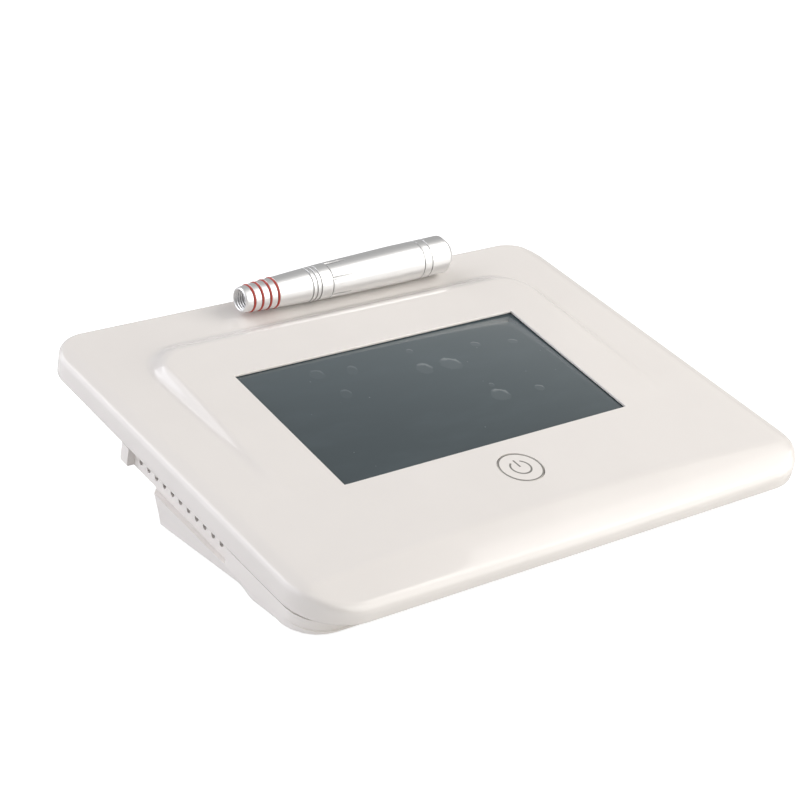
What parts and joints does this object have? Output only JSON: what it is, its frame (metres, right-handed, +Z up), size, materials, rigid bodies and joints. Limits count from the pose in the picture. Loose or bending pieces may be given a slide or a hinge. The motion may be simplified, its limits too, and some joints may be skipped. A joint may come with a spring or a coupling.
{
  "type": "permanent makeup machine",
  "caption": "Sloping desk console with a raised touch screen and a round power key, and a slim rotary needle handpiece lying along its rear ledge.",
  "frame": {"origin": "centre of the footprint, at the bottom of the rubber feet", "axes": "+X to the user's right, +Y away from the user towards the high rear edge, +Z up"},
  "size_m": [0.273, 0.2102, 0.0693],
  "materials": {
    "shell": "glossy white",
    "key": "glossy white",
    "screen_glass": "clear, dark display behind",
    "foam": "closed foam",
    "display": "matt",
    "steel": "bright zinc",
    "circuit_board": "solder mask",
    "black_plastic": "moulded",
    "cable": "flat cable",
    "foot_rubber": "matt",
    "pen_metal": "satin anodised",
    "ring_red": "matt",
    "brass": "turned",
    "acetal": "machined",
    "spring_steel": "bright",
    "lead": "insulated wire"
  },
  "bodies": {
    "console": {"top_shell": "shell", "base_shell": "shell", "touch_glass": "screen_glass", "screen_gasket": "foam", "display_panel": "display", "display_frame": "steel", "display_screw_1": "steel", "display_screw_2": "steel", "display_screw_3": "steel", "display_screw_4": "steel", "key_switch": "black_plastic", "key_board": "circuit_board", "key_board_screw_left": "steel", "key_board_screw_right": "steel", "dc_inlet": "black_plastic", "pedal_socket": "black_plastic", "handpiece_socket_1": "black_plastic", "handpiece_socket_2": "black_plastic", "socket_board": "circuit_board", "display_ribbon": "cable", "key_cable": "cable", "socket_cable": "cable", "case_screw_front_left": "steel", "case_screw_front_right": "steel", "case_screw_middle_left": "steel", "case_screw_middle_right": "steel", "case_screw_rear_left": "steel", "case_screw_rear_right": "steel", "rubber_foot_rear_left": "foot_rubber", "rubber_foot_front_left": "foot_rubber", "rubber_foot_rear_right": "foot_rubber", "rubber_foot_front_right": "foot_rubber", "main_board": "circuit_board", "board_screw_1": "steel", "board_screw_2": "steel", "board_screw_3": "steel", "board_screw_4": "steel"},
    "power_key": {"power_key": "key", "key_switch_stem": "black_plastic"},
    "handpiece": {"pen_grip": "pen_metal", "grip_ring_1": "ring_red", "grip_ring_2": "ring_red", "grip_ring_3": "ring_red", "grip_ring_4": "ring_red", "pen_barrel": "pen_metal", "pen_cap": "pen_metal", "pen_socket": "black_plastic", "guide_bush": "brass", "motor_case": "steel", "motor_lead": "lead"},
    "needle_bar": {"needle_bar": "steel", "return_spring": "spring_steel"},
    "motor_shaft": {"motor_shaft": "steel", "drive_cam": "acetal"}
  },
  "joints": [
    {"name": "power_key_press", "type": "slide", "parent": "console", "child": "power_key", "axis": [0, 0.1685, -0.9857], "range_m": [0, 0.0005], "stiffness_N_per_m": 1500, "springref_m": -0.0005},
    {"name": "handpiece_lift", "type": "slide", "parent": "console", "child": "handpiece", "axis": [0, -0.1685, 0.9857], "range_m": [0, 0.06]},
    {"name": "motor_spin", "type": "hinge", "parent": "handpiece", "child": "motor_shaft", "pos_m": [0.00719, 0.08793, 0.05886], "axis": [0.9998, -0.0034, 0.0198], "continuous": true},
    {"name": "needle_stroke", "type": "slide", "parent": "handpiece", "child": "needle_bar", "axis": [-0.9998, 0.0034, -0.0198], "range_m": [0, 0.0025], "stiffness_N_per_m": 400, "springref_m": -0.001}
  ]
}
